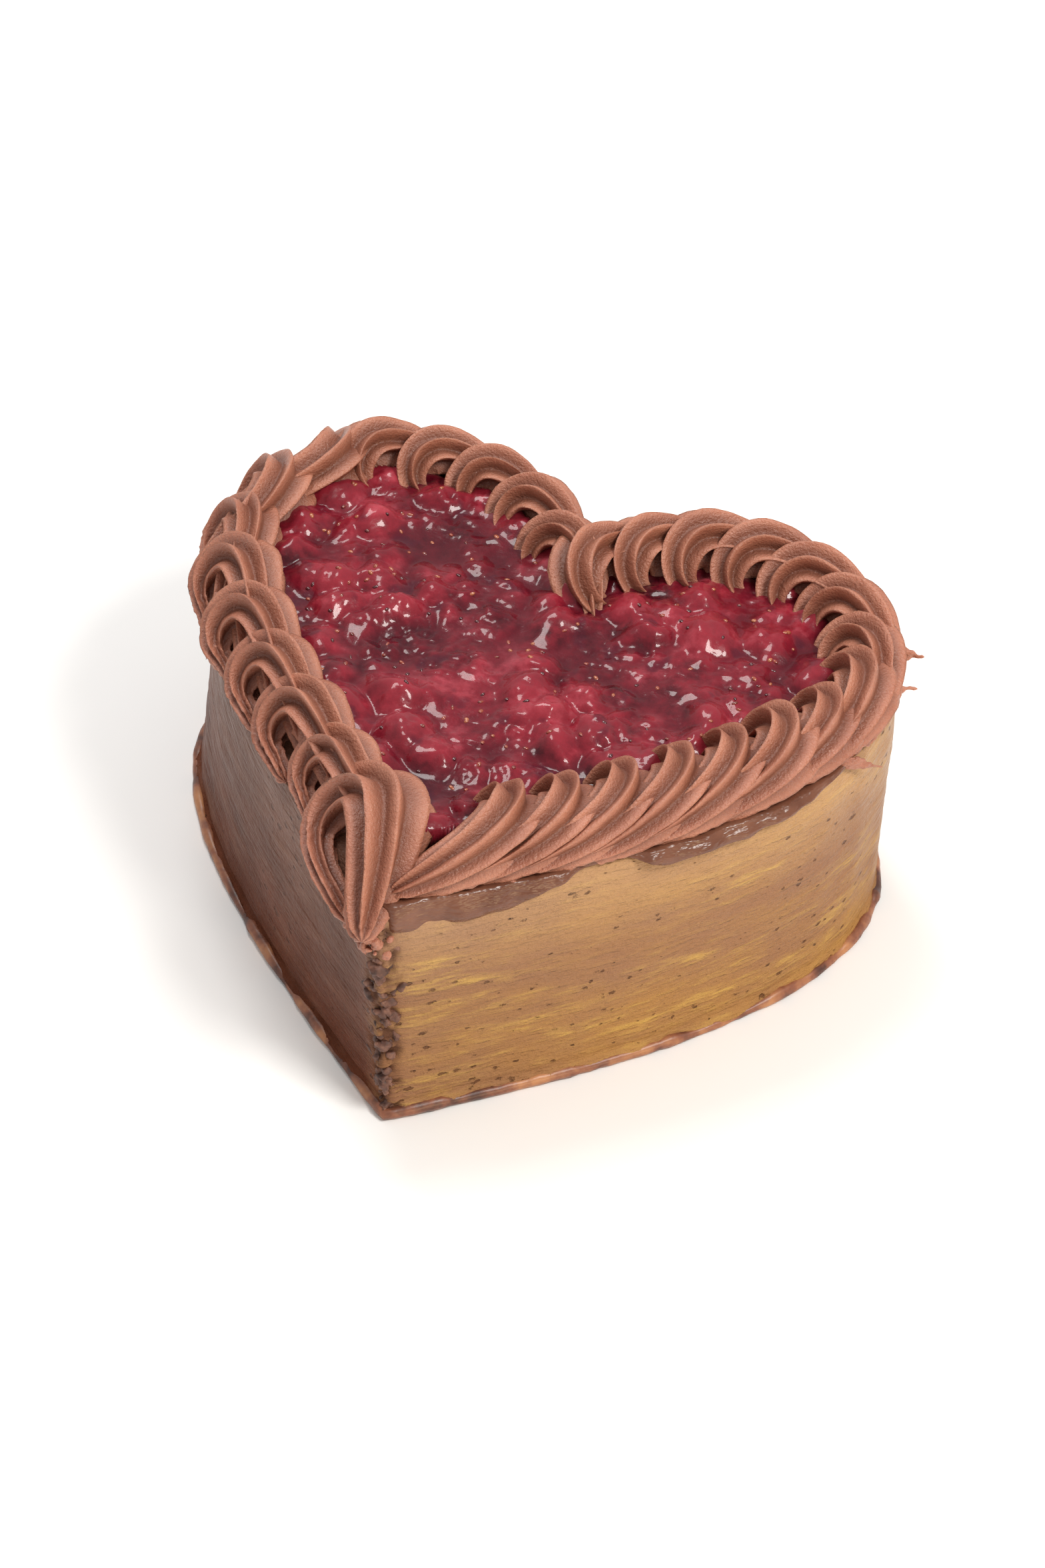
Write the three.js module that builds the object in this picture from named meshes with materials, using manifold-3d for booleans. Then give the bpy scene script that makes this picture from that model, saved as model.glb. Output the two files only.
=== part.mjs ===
// A whole heart-shaped layer cake: a tall cake under a coat of ganache, a pool of
// berry compote on its top, and a border of piped buttercream shells round it.
// Millimetres, +Z up. The heart's tip points to -Y and its two lobes to +Y.
import * as THREE from 'three';
import { mergeVertices } from 'three/addons/utils/BufferGeometryUtils.js';
import Module from 'manifold-3d';

const wasm = await Module();
wasm.setup();

// ---- sizes of the coated cake ------------------------------------------------
const TIP_Y = -101;            // the point of the heart
const WIDEST_Y = 12;           // where it is widest
const RIGHT_X = 92;            // half width on the right
const LEFT_X = 94.5;           // half width on the left, a little fuller
const LOBE_X = 43;             // middle of each lobe
const LOBE_RIGHT_Y = 57.5;     // top of the right lobe
const LOBE_LEFT_Y = 64.5;      // top of the left lobe
const CLEFT = [2, 37];         // bottom of the notch between the lobes
const CAKE_H = 70;             // height of the coated cake
const TOP_SHIFT = -4;          // the top of the tip leans over to the left by this

// ---- sizes of the piping and the compote -------------------------------------
const BORDER_INSET = 12;       // middle of the piped border, in from the wall
const SHELLS_BACK = 5;         // over the back of the left lobe, towards the cleft
const SHELLS_RIGHT = 15;
const SHELLS_LEFT = 9;
const SHELL = {                // one shell at size 1
  tilt: 50,                    // degrees that its eye's axis leans up
  side: 4.5, lift: 2.6,        // the eye, beside and above the border's middle line
  wide: 9.6, deep: 7.6,        // half width and half depth of the rope at its fullest
  eye: 1.0,                    // radius of the eye
  lead: 7,                     // the straight start of the rope
  groove: 0.3,                 // depth of the grooves, of the rope's radius
};
const COMPOTE_INSET = 17;      // the compote runs in under the shells to here
const COMPOTE_H = 5.5;         // its mean depth
const GAP = 0.3;               // clearance between neighbouring pieces
const CUT = 0.45;              // growth of the pieces that cut the shells, for that gap

function seeded(seed) {
  let s = seed >>> 0;
  return () => {
    s = (s + 0x6d2b79f5) >>> 0;
    let t = Math.imul(s ^ (s >>> 15), 1 | s);
    t = (t + Math.imul(t ^ (t >>> 7), 61 | t)) ^ t;
    return ((t ^ (t >>> 14)) >>> 0) / 4294967296;
  };
}
const smooth = (t) => { t = Math.min(1, Math.max(0, t)); return t * t * (3 - 2 * t); };
const mix = (a, b, t) => a + (b - a) * t;

// ---- the heart's outline, moved in by d --------------------------------------
// three curves a side: the long flank, the outside of the lobe, and the inside
// of the lobe down to the cleft; counter-clockwise from the tip
function heart(d, perCurve, { left = d, tipX = 0, tipIn = 1.3 * d } = {}) {
  const v = (x, y) => new THREE.Vector2(x, y);
  const tip = v(tipX, TIP_Y + tipIn), cleft = v(CLEFT[0], CLEFT[1] - 1.2 * d);
  const halves = [
    [1, RIGHT_X - d, LOBE_RIGHT_Y - d, 0.382, 0.243, 0.37],
    [-1, LEFT_X - left, LOBE_LEFT_Y - d, 0.41, 0.27, 0.33],
  ].map(([side, wide, high, ax, ay, by]) => {
    const w = v(side * wide, WIDEST_Y), top = v(side * LOBE_X, high);
    const dx = w.x - tip.x, dy = w.y - tip.y;
    const lx = w.x - top.x, ly = top.y - w.y;
    const cx = top.x - cleft.x, cy = top.y - cleft.y;
    return [
      [tip, v(tip.x + ax * dx, tip.y + ay * dy), v(w.x, w.y - by * dy), w],
      [w, v(w.x, w.y + 0.5523 * ly), v(top.x + 0.5523 * lx, top.y), top],
      [top, v(top.x - 0.48 * cx, top.y), v(cleft.x + 0.17 * cx, cleft.y + 0.42 * cy), cleft],
    ];
  });
  const path = new THREE.CurvePath();
  for (const c of halves[0]) path.add(new THREE.CubicBezierCurve(...c));
  for (const c of halves[1].reverse()) path.add(new THREE.CubicBezierCurve(...c.reverse()));
  const pts = [];
  for (const curve of path.curves) {
    for (let i = 0; i < perCurve; i++) pts.push(curve.getPoint(i / perCurve));
  }
  return pts;
}

// ---- closed skins over rings of points ---------------------------------------
function skin(rings) {
  const n = rings[0].length, pos = [], idx = [];
  for (const ring of rings) for (const p of ring) pos.push(p.x, p.y, p.z);
  for (let i = 0; i + 1 < rings.length; i++) {
    for (let j = 0; j < n; j++) {
      const a = i * n + j, b = i * n + (j + 1) % n;
      idx.push(a, b, b + n, a, b + n, a + n);
    }
  }
  for (const [ring, flip] of [[0, true], [rings.length - 1, false]]) {
    const mid = rings[ring].reduce((m, p) => m.add(p), new THREE.Vector3()).divideScalar(n);
    const c = pos.length / 3;
    pos.push(mid.x, mid.y, mid.z);
    for (let j = 0; j < n; j++) {
      const a = ring * n + j, b = ring * n + (j + 1) % n;
      if (flip) idx.push(c, b, a); else idx.push(c, a, b);
    }
  }
  const g = new THREE.BufferGeometry();
  g.setAttribute('position', new THREE.Float32BufferAttribute(pos, 3));
  g.setIndex(idx);
  return g;
}

function toSolid(geometry) {
  const g = mergeVertices(geometry, 1e-4);
  let s = new wasm.Manifold(new wasm.Mesh({
    numProp: 3,
    vertProperties: new Float32Array(g.attributes.position.array),
    triVerts: new Uint32Array(g.index.array),
  }));
  return s;
}
function outward(rings) {
  const s = toSolid(skin(rings));
  return s.volume() > 0 ? s : toSolid(skin(rings.map((r) => [...r].reverse())));
}
function largest(solid) {
  const parts = solid.decompose();
  parts.sort((a, b) => b.volume() - a.volume());
  return parts[0];
}
function toGeometry(solid) {
  const m = solid.getMesh(), g = new THREE.BufferGeometry();
  const pos = new Float32Array(m.numVert * 3);
  for (let i = 0; i < m.numVert; i++) {
    for (let k = 0; k < 3; k++) pos[i * 3 + k] = m.vertProperties[i * m.numProp + k];
  }
  g.setAttribute('position', new THREE.BufferAttribute(pos, 3));
  g.setIndex(new THREE.BufferAttribute(new Uint32Array(m.triVerts), 1));
  return g;
}

// ---- the coated cake ---------------------------------------------------------
// a thin foot of ganache at the bottom, a wall that leans in a little on the
// right and more on the left, and a rounded upper edge
const WALL = [                 // height, in on the right, in on the left, tip across, tip in
  [0, 0.6, 0.6, 0, 0.6], [1.6, 0, 0, 0, 0], [3.2, 0.5, 0.8, 0, 0.4], [60, 1.8, 7, -4, 0],
  [67, 2.8, 8, -4.5, 1], [69.3, 5, 10, -4.5, 3], [CAKE_H, 8, 13, -4.5, 6],
];
function cakeSolid(grow, perCurve) {
  return outward(WALL.map(([z, d, left, tipX, tipIn]) => heart(d - grow, perCurve, { left: left - grow, tipX, tipIn: tipIn - 1.3 * grow }).map(
    (p) => new THREE.Vector3(p.x, p.y, z < 1 ? z - grow : z + (z > 66 ? grow : 0)))));
}

// ---- one piped shell ---------------------------------------------------------
// A rope with a star section starts low beside the border's middle, curls back
// and up round a tilted eye while it swells, and is drawn out forward into a
// tail that lies down along the border. Its ridges are on every side but the
// one that faces the eye.
function shellSolid(s, grow, plain = false) {
  const T = new THREE.Vector3(Math.cos(s.yaw + s.lean), Math.sin(s.yaw + s.lean), 0);
  const R = new THREE.Vector3(T.y, -T.x, 0);
  const Tb = new THREE.Vector3(Math.cos(s.yaw), Math.sin(s.yaw), 0);
  const Rb = new THREE.Vector3(Tb.y, -Tb.x, 0);
  const Z = new THREE.Vector3(0, 0, 1);
  const tilt = THREE.MathUtils.degToRad(SHELL.tilt);
  const E = R.clone().multiplyScalar(Math.cos(tilt)).addScaledVector(Z, Math.sin(tilt));
  const U = R.clone().multiplyScalar(-Math.sin(tilt)).addScaledVector(Z, Math.cos(tilt));
  const k = s.size;
  const base = new THREE.Vector3(s.x, s.y, CAKE_H).addScaledVector(Rb, -s.out);
  const eye = base.clone().addScaledVector(R, SHELL.side * k).addScaledVector(Z, SHELL.lift * k);
  const ring = (C, N, B, w, h) => {
    const pts = [];
    for (let j = 0; j < 13; j += plain ? 2 : 1) {          // plain: from ridge to ridge
      const u = THREE.MathUtils.degToRad((j - 6) * 22.5), f = j % 2 ? 1 - SHELL.groove : 1;
      pts.push(C.clone().addScaledVector(N, Math.cos(u) * f * w).addScaledVector(B, Math.sin(u) * f * h));
    }
    return pts;
  };
  const rings = [];
  const arch = 4;
  const end = base.clone().addScaledVector(Tb, s.tail * k).addScaledVector(Rb, -s.tailOut * k).addScaledVector(Z, s.drop * k);
  const w0 = 2.0 * k + grow, h0 = 2.6 * k + grow;          // the start, a straight leg
  const start = s.last ? end.clone().addScaledVector(R, 3.4 * k).addScaledVector(T, -3 * k)
    : eye.clone().addScaledVector(U, grow - SHELL.eye * k - w0).addScaledVector(T, SHELL.lead * k + grow);
  rings.push(ring(start, U.clone().negate(), E, w0, h0));
  for (let i = 0; i <= arch; i++) {
    const t = i / arch, phi = t * Math.PI;
    const d = U.clone().multiplyScalar(-Math.cos(phi)).addScaledVector(T, -Math.sin(phi));
    const w = mix(2.4, SHELL.wide, smooth(t)) * k + grow, h = mix(3.6, SHELL.deep, smooth(t * 1.15)) * k + grow;
    rings.push(ring(eye.clone().addScaledVector(d, SHELL.eye * k + w - grow), d, E, w, h));
  }
  const P0 = eye.clone().addScaledVector(U, (SHELL.wide + SHELL.eye) * k);
  const P1 = end;
  const M0 = T.clone().multiplyScalar(s.tail * k);
  const M1 = Tb.clone().multiplyScalar(0.95).addScaledVector(Z, -0.2).multiplyScalar(s.tail * k * 0.8);
  for (const t of s.last ? [0.33, 0.67, 1] : [0.45, 0.9]) {
    const C = P0.clone().multiplyScalar(2 * t ** 3 - 3 * t ** 2 + 1).addScaledVector(M0, t ** 3 - 2 * t ** 2 + t)
      .addScaledVector(P1, -2 * t ** 3 + 3 * t ** 2).addScaledVector(M1, t ** 3 - t ** 2);
    const G = P0.clone().multiplyScalar(6 * t * t - 6 * t).addScaledVector(M0, 3 * t * t - 4 * t + 1)
      .addScaledVector(P1, -6 * t * t + 6 * t).addScaledVector(M1, 3 * t * t - 2 * t).normalize();
    const N = U.clone().addScaledVector(G, -U.dot(G)).normalize();
    const B = new THREE.Vector3().crossVectors(G, N);
    if (B.dot(E) < 0) B.negate();
    const thin = (1 - t) ** 0.7;
    const w = SHELL.wide * (0.9 * thin + 0.1) * k + grow, h = SHELL.deep * (0.82 * thin + 0.18) * k + grow;
    if (t >= 0.9) C.addScaledVector(G, grow);
    rings.push(ring(C, N, B, w, h));
  }
  return outward(rings);
}

// ---- where the shells sit ----------------------------------------------------
// evenly along the border's middle line: first from the outside of the left lobe
// over its back to the cleft, on over the right lobe and down to the tip, then
// from the left lobe down the left side to the tip, each a little different
function halfBorder(side) {
  const line = heart(BORDER_INSET, 40, { tipX: TOP_SHIFT }), n = line.length / 2;
  const half = side > 0 ? line.slice(0, n + 1).reverse() : [...line.slice(n), line[0]];
  const run = [0];
  for (let i = 1; i < half.length; i++) run.push(run[i - 1] + half[i].distanceTo(half[i - 1]));
  const at = (s) => {
    let i = 1;
    while (i < half.length - 1 && run[i] < s) i++;
    const t = (s - run[i - 1]) / (run[i] - run[i - 1]);
    return half[i - 1].clone().lerp(half[i], t);
  };
  return { length: run[run.length - 1], at };
}
const shells = [];
const rnd = seeded(29);
const rad = THREE.MathUtils.degToRad;
for (const [side, count, from, to] of [
  [-1, SHELLS_BACK, 76, 10], [1, SHELLS_RIGHT, 6, -24], [-1, SHELLS_LEFT, 91, -12],
]) {
  const { length, at } = halfBorder(side), onward = to < 0 ? 1 : -1;
  for (let i = 0; i < count; i++) {
    const s = from + ((to < 0 ? length + to : to) - from) * (i / (count - 1));
    const p = at(s), a = at(s - onward), b = at(s + onward);
    const way = (s - 8) / (length - 26), ramp = (f0, f1) => smooth((way - f0) / (f1 - f0));
    const shell = { x: p.x, y: p.y, yaw: Math.atan2(b.y - a.y, b.x - a.x), size: 1.02 + 0.07 * (rnd() - 0.5), drop: 1.5 };
    const turn = 8 * (rnd() - 0.5);
    if (side > 0) {                // on the right flank the tails swing out over the edge
      const flank = ramp(0.5, 0.75);
      Object.assign(shell, { lean: rad(18 + 20 * ramp(0.45, 0.7) + turn), out: -2 * flank, tail: 26 + 8 * flank, tailOut: 6 * flank });
    } else if (to > 0) {           // over the back of the left lobe
      Object.assign(shell, { lean: rad(18 + turn), out: 0, tail: 26, tailOut: 0 });
    } else {                       // on the left flank the shells lie straight behind each other
      Object.assign(shell, { lean: rad(28 - 22 * ramp(0.3, 0.55) - 16 * ramp(0.72, 0.95) + turn), out: 0, tail: 27, tailOut: 0 });
    }
    if (side < 0 && to < 0 && i === count - 1) {             // the last shell, over the tip
      Object.assign(shell, { x: -14, y: -80, yaw: rad(-70), lean: 0, size: 1.17, tail: 21, tailOut: -0.5, drop: -5, last: true });
    }
    shells.push(shell);
  }
}
shells.forEach((s, i) => { s.name = 'shell_' + String(i + 1).padStart(2, '0'); });

// ---- the compote -------------------------------------------------------------
// a lumpy pool, deepest round the broken berries; its edge is cut to the shells
function compoteSolid() {
  const draw = seeded(7), lumps = [];
  while (lumps.length < 105) {
    lumps.push({ x: mix(-76, 76, draw()), y: mix(-88, 48, draw()), r: mix(4.5, 9.5, draw() ** 1.4), h: mix(1.0, 3.4, draw()) });
  }
  const height = (x, y) => {
    let z = COMPOTE_H + 0.5 * Math.sin(x * 0.11 + 1) * Math.cos(y * 0.13);
    for (const l of lumps) {
      const q = 1 - ((x - l.x) ** 2 + (y - l.y) ** 2) / (l.r * l.r);
      if (q > 0) z += l.h * q * q * (3 - 2 * q) * 0.8;
    }
    return Math.min(z, COMPOTE_H + 4.5);
  };
  const step = 5.3, rows = [];
  for (let y = -86; y < 52; y += step) {
    const row = [];
    for (let x = -80; x < 80; x += step) {
      row.push(new THREE.Vector3(x, y, CAKE_H + GAP + height(x, y)));
    }
    rows.push([...row, new THREE.Vector3(80, y, CAKE_H - 5), new THREE.Vector3(-80, y, CAKE_H - 5)]);
  }
  const rim = heart(COMPOTE_INSET, 9, { tipX: TOP_SHIFT });
  const prism = outward([CAKE_H + GAP, CAKE_H + 30].map((z) => rim.map((p) => new THREE.Vector3(p.x, p.y, z))));
  return outward(rows).intersect(prism);
}

// ---- cut every piece to its neighbours ---------------------------------------
const bareCake = cakeSolid(0, 9);
const grownCake = cakeSolid(GAP, 9);
const grown = shells.map((s) => shellSolid(s, CUT, true));
// a later shell's head lies over the tail of the one before it, and where both
// rows meet the left row is on top
const cutShells = shells.map((s, i) => {
  let solid = shellSolid(s, 0).subtract(grownCake);
  for (let j = i + 1; j < shells.length; j++) {
    const reach = j === shells.length - 1 ? 50 : 40;
    if (Math.hypot(shells[j].x - s.x, shells[j].y - s.y) < reach) solid = solid.subtract(grown[j]);
  }
  return largest(largest(solid).simplify(0.17));
});
let compote = compoteSolid();
for (const g of grown) compote = compote.subtract(g);
compote = largest(largest(compote).simplify(0.15));

// ---- the finished cake, centred over its base --------------------------------
const cream = new THREE.MeshStandardMaterial({ color: 0xa66b56, roughness: 0.5, metalness: 0 });
const ganache = new THREE.MeshStandardMaterial({ color: 0x6e5242, roughness: 0.42, metalness: 0 });
const berry = new THREE.MeshStandardMaterial({ color: 0x7c1a2a, roughness: 0.15, metalness: 0 });

const cake = new THREE.Group();
function place(name, solid, material) {
  const mesh = new THREE.Mesh(toGeometry(solid), material);
  mesh.name = name;
  cake.add(mesh);
  return mesh;
}
place('ganache_cake', bareCake, ganache);
place('berry_compote', compote, berry);
cutShells.forEach((solid, i) => place(shells[i].name, solid, cream));

const box = new THREE.Box3().setFromObject(cake);
const middle = box.getCenter(new THREE.Vector3());
cake.position.set(-middle.x, -middle.y, -box.min.z);

export default cake;
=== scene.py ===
import random
from math import atan2, cos, hypot, pi, radians, sin, sqrt

import bmesh
import bpy
import numpy as np
from mathutils import Matrix, Vector, noise


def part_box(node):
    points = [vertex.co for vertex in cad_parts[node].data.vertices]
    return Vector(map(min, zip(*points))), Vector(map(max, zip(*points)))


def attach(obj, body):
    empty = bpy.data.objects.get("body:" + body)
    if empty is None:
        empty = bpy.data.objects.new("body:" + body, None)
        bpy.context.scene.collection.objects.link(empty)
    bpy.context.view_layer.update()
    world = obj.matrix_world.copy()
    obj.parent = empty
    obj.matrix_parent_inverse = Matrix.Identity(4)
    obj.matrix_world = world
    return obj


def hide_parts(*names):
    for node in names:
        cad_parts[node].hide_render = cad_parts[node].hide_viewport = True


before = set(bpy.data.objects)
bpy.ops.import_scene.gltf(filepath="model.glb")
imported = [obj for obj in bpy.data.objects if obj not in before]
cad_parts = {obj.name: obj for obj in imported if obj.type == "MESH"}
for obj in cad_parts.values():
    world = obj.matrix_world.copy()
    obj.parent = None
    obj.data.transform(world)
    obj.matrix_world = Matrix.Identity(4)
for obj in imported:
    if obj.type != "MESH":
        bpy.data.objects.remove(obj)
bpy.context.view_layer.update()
bpy.ops.object.select_all(action="DESELECT")
MM = 0.001                     # shapes are drawn in millimetres, lamps and paint in metres

# ---- Floor, light and camera ------------------------------------------------
# A pale seamless floor under soft studio light: a key lamp from the right, a
# window behind and a warm glow low on the right. The camera looks from the front
# right, 44 degrees down, rolled a little.
bpy.ops.mesh.primitive_plane_add(size=8, location=(0, 0, -0.0002))
floor = bpy.context.object
floor.name = "pale_floor"
floor_paint = bpy.data.materials.new("Pale floor")
floor_paint.use_nodes = True
floor_shader = floor_paint.node_tree.nodes["Principled BSDF"]
floor_shader.inputs["Base Color"].default_value = (0.93, 0.925, 0.915, 1)
floor_shader.inputs["Roughness"].default_value = 0.7
floor.data.materials.append(floor_paint)

world = bpy.data.worlds.new("Soft studio")
bpy.context.scene.world = world
world.use_nodes = True
world.node_tree.nodes["Background"].inputs["Color"].default_value = (1.0, 0.99, 0.98, 1)
world.node_tree.nodes["Background"].inputs["Strength"].default_value = 0.56


def softbox(name, place, aim, size, watts, tint):
    bpy.ops.object.light_add(type="AREA", location=place)
    lamp = bpy.context.object
    lamp.name = name
    lamp.data.shape = "RECTANGLE"
    lamp.data.size, lamp.data.size_y = size
    lamp.data.energy = watts
    lamp.data.color = tint
    lamp.rotation_euler = (Vector(aim) - Vector(place)).to_track_quat("-Z", "Y").to_euler()


softbox("key_right", (0.62, -0.22, 1.0), (0, 0, 0.05), (0.34, 0.26), 8.6, (1.0, 0.975, 0.93))
softbox("window_glint", (-0.34, 0.30, 1.08), (0, 0, 0.07), (0.36, 0.44), 6.6, (1.0, 0.985, 0.97))
softbox("warm_side", (0.95, -0.75, 0.20), (0, 0, 0.04), (0.6, 0.3), 3.4, (1.0, 0.80, 0.48))

# the heart's own axes sit off the middle of the whole object's box
TIP_Y = -101                   # from the heart's own axes, as all that follows
RIGHT_X, LEFT_X, WIDEST_Y = 92, 94.5, 12
cake_low, cake_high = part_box("ganache_cake")
MIDDLE_X = cake_high[0] - RIGHT_X * MM
MIDDLE_Y = cake_low[1] - TIP_Y * MM

AZIMUTH, ELEVATION, ROLL = radians(17), radians(44.15), radians(3.72)
AIM_X, AIM_Y = -8.17, 22.86    # what the camera looks at, from the heart's own axes
AWAY = 0.99413                 # metres from there to the lens
back = Vector((sin(AZIMUTH) * cos(ELEVATION), -cos(AZIMUTH) * cos(ELEVATION), sin(ELEVATION)))
aim = Vector((MIDDLE_X + AIM_X * MM, MIDDLE_Y + AIM_Y * MM, 0))
bpy.ops.object.camera_add(location=aim + back * AWAY)
camera = bpy.context.object
level = back.to_track_quat("Z", "Y").to_matrix()
camera.rotation_euler = (level @ Matrix.Rotation(ROLL, 3, "Z")).to_euler()
camera.data.lens = 85
camera.data.sensor_fit = "AUTO"
camera.data.sensor_width = 36
bpy.context.scene.camera = camera
bpy.context.scene.view_settings.view_transform = "Standard"

# ---- Coated cake -------------------------------------------------------------
# The tall cake under its ganache: a satin chocolate coat drawn round with a
# spatula, with pits and fine strokes, and torn open down the corner of the tip.
LOBE_X, LOBE_RIGHT_Y, LOBE_LEFT_Y = 43, 57.5, 64.5
CLEFT_X, CLEFT_Y = 2, 37
TOP_Z = 70
TOP_SHIFT, SHIFT_RISE = -4, 64  # the tip leans over to the left by so much in so high
FOOT_TOP, UNDERCUT_Z = 3.4, 4.6
TEAR_REACH = 5.6               # half width of the torn strip down the tip


def heart(inset, per_curve, tip_x=0):
    """The heart's outline moved in by inset, counter-clockwise from the tip."""
    tip = (tip_x, TIP_Y + 1.3 * inset)
    cleft = (CLEFT_X, CLEFT_Y - 1.2 * inset)
    halves = []
    for side, wide, high, ax, ay, by in (
        (1, RIGHT_X - inset, LOBE_RIGHT_Y - inset, 0.382, 0.243, 0.37),
        (-1, LEFT_X - inset, LOBE_LEFT_Y - inset, 0.41, 0.27, 0.33),
    ):
        w, top = (side * wide, WIDEST_Y), (side * LOBE_X, high)
        dx, dy = w[0] - tip[0], w[1] - tip[1]
        lx, ly = w[0] - top[0], top[1] - w[1]
        cx, cy = top[0] - cleft[0], top[1] - cleft[1]
        halves.append([
            (tip, (tip[0] + ax * dx, tip[1] + ay * dy), (w[0], w[1] - by * dy), w),
            (w, (w[0], w[1] + 0.5523 * ly), (top[0] + 0.5523 * lx, top[1]), top),
            (top, (top[0] - 0.48 * cx, top[1]),
             (cleft[0] + 0.17 * cx, cleft[1] + 0.42 * cy), cleft),
        ])
    curves = halves[0] + [tuple(reversed(c)) for c in reversed(halves[1])]
    points = []
    for a, b, c, d in curves:
        for i in range(per_curve):
            t = i / per_curve
            k = ((1 - t) ** 3, 3 * (1 - t) ** 2 * t, 3 * (1 - t) * t * t, t ** 3)
            points.append((sum(k[m] * p[0] for m, p in enumerate((a, b, c, d))),
                           sum(k[m] * p[1] for m, p in enumerate((a, b, c, d)))))
    return points


def ease(t):
    t = min(1, max(0, t))
    return t * t * (3 - 2 * t)


def wave(x, y, z, scale, seed=0):
    """Soft noise from -1 to 1 at a millimetre scale."""
    return noise.noise(Vector((x / scale + seed * 7.3, y / scale - seed * 3.1,
                               z / scale + seed * 5.7)))


def reshape(piece, move):
    """Moves each vertex by what move gives for its number, place and normal.

    Places and moves are in millimetres from the heart's axes."""
    vertices = piece.data.vertices
    places, normals = np.empty(3 * len(vertices)), np.empty(3 * len(vertices))
    vertices.foreach_get("co", places)
    vertices.foreach_get("normal", normals)
    places = (places.reshape(-1, 3) - (MIDDLE_X, MIDDLE_Y, 0)) / MM
    normals = normals.reshape(-1, 3)
    for i, (place, normal) in enumerate(zip(places.tolist(), normals.tolist())):
        places[i] += move(i, place, normal)
    places[:, 2] = np.maximum(places[:, 2], 0)          # nothing goes through the floor
    vertices.foreach_set("co", (places * MM + (MIDDLE_X, MIDDLE_Y, 0)).ravel())
    piece.data.update()


cad_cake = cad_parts["ganache_cake"]
cad_cake.select_set(True)
bpy.context.view_layer.objects.active = cad_cake
bpy.ops.object.duplicate()
cake = bpy.context.object
cake.name = "ganache_coat"
bpy.ops.object.mode_set(mode="EDIT")
bpy.ops.mesh.select_all(action="SELECT")
bpy.ops.mesh.remove_doubles(threshold=1e-6)
bpy.ops.mesh.normals_make_consistent(inside=False)
bpy.ops.object.mode_set(mode="OBJECT")
grid = cake.modifiers.new("fine grid", "REMESH")
grid.mode = "VOXEL"
grid.voxel_size = 1.15 * MM
bpy.ops.object.modifier_apply(modifier=grid.name)
relax = cake.modifiers.new("soften", "SMOOTH")
relax.factor = 0.5
relax.iterations = 14
bpy.ops.object.modifier_apply(modifier=relax.name)

torn_open = [0.0] * len(cake.data.vertices)


def spatula_marks(i, place, normal):
    x, y, z = place
    nx, ny, nz = normal
    if abs(nz) > 0.8:
        return 0, 0, 0
    out = 0.55 * wave(x, y, z, 34) + 0.3 * wave(x, y, z * 1.6, 13, 1)
    out += 0.16 * wave(x, y, z * 6, 16, 2) + 0.10 * wave(x, y, z * 5, 7, 3)
    # the trimmed foot, with a shallow dark undercut over it
    out += ease((FOOT_TOP - z) / 1.2) * (0.9 + 0.9 * wave(x, y, 0, 9, 4))
    undercut = ease(1 - abs(z - UNDERCUT_Z) / 1.8) * (1 + 0.8 * wave(x, y, 0, 15, 5))
    out -= (1.0 if x < 0 else 0.45) * undercut
    # the crumb torn open down the tip
    away = hypot(x - TOP_SHIFT * z / SHIFT_RISE, (y - TIP_Y) * 0.8)
    tear = ease((TEAR_REACH + 3.2 * wave(x, y, z, 8, 8) - away) / 3.2)
    if tear > 0:
        crumb = noise.fractal(Vector((x, y, z)) / 3.4, 0.9, 2.1, 3)
        out += tear * (-0.4 + 1.6 * crumb)
        torn_open[i] = tear * min(1, max(0, 0.5 - 1.1 * crumb))
    flat = hypot(nx, ny)
    return nx / flat * out, ny / flat * out, 0


reshape(cake, spatula_marks)
cake.data.attributes.new("torn", "FLOAT", "POINT").data.foreach_set("value", torn_open)
bpy.ops.object.shade_smooth()


def add_node(tree, kind, **values):
    node = tree.nodes.new(kind)
    for key, value in values.items():
        if key in node.inputs:
            node.inputs[key].default_value = value
        else:
            setattr(node, key, value)
    return node


def fresh_material(name, roughness):
    paint = bpy.data.materials.new(name)
    paint.use_nodes = True
    shader = paint.node_tree.nodes["Principled BSDF"]
    shader.inputs["Roughness"].default_value = roughness
    return paint, paint.node_tree, shader


def colour_steps(tree, source, steps):
    """Colours along a value, each given as its place from 0 to 1 and its colour."""
    ramp = tree.nodes.new("ShaderNodeValToRGB")
    band = ramp.color_ramp
    while len(band.elements) < len(steps):
        band.elements.new(0.5)
    for element, (where, colour) in zip(band.elements, steps):
        element.position = where
        element.color = (*colour, 1)
    tree.links.new(source, ramp.inputs["Fac"])
    return ramp.outputs["Color"]


# soft cloudy variation, stretched and scaled by each material for itself
soft_mottle = bpy.data.node_groups.new("Soft mottle", "ShaderNodeTree")
for socket_name in ("Vector", "Stretch", "Scale", "Detail", "Roughness"):
    kind = "NodeSocketVector" if socket_name in ("Vector", "Stretch") else "NodeSocketFloat"
    soft_mottle.interface.new_socket(socket_name, in_out="INPUT", socket_type=kind)
soft_mottle.interface.new_socket("Fac", in_out="OUTPUT", socket_type="NodeSocketFloat")
inlet = add_node(soft_mottle, "NodeGroupInput")
outlet = add_node(soft_mottle, "NodeGroupOutput")
stretched = add_node(soft_mottle, "ShaderNodeMapping")
cloud = add_node(soft_mottle, "ShaderNodeTexNoise")
soft_mottle.links.new(inlet.outputs["Vector"], stretched.inputs["Vector"])
soft_mottle.links.new(inlet.outputs["Stretch"], stretched.inputs["Scale"])
soft_mottle.links.new(stretched.outputs["Vector"], cloud.inputs["Vector"])
for socket_name in ("Scale", "Detail", "Roughness"):
    soft_mottle.links.new(inlet.outputs[socket_name], cloud.inputs[socket_name])
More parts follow.
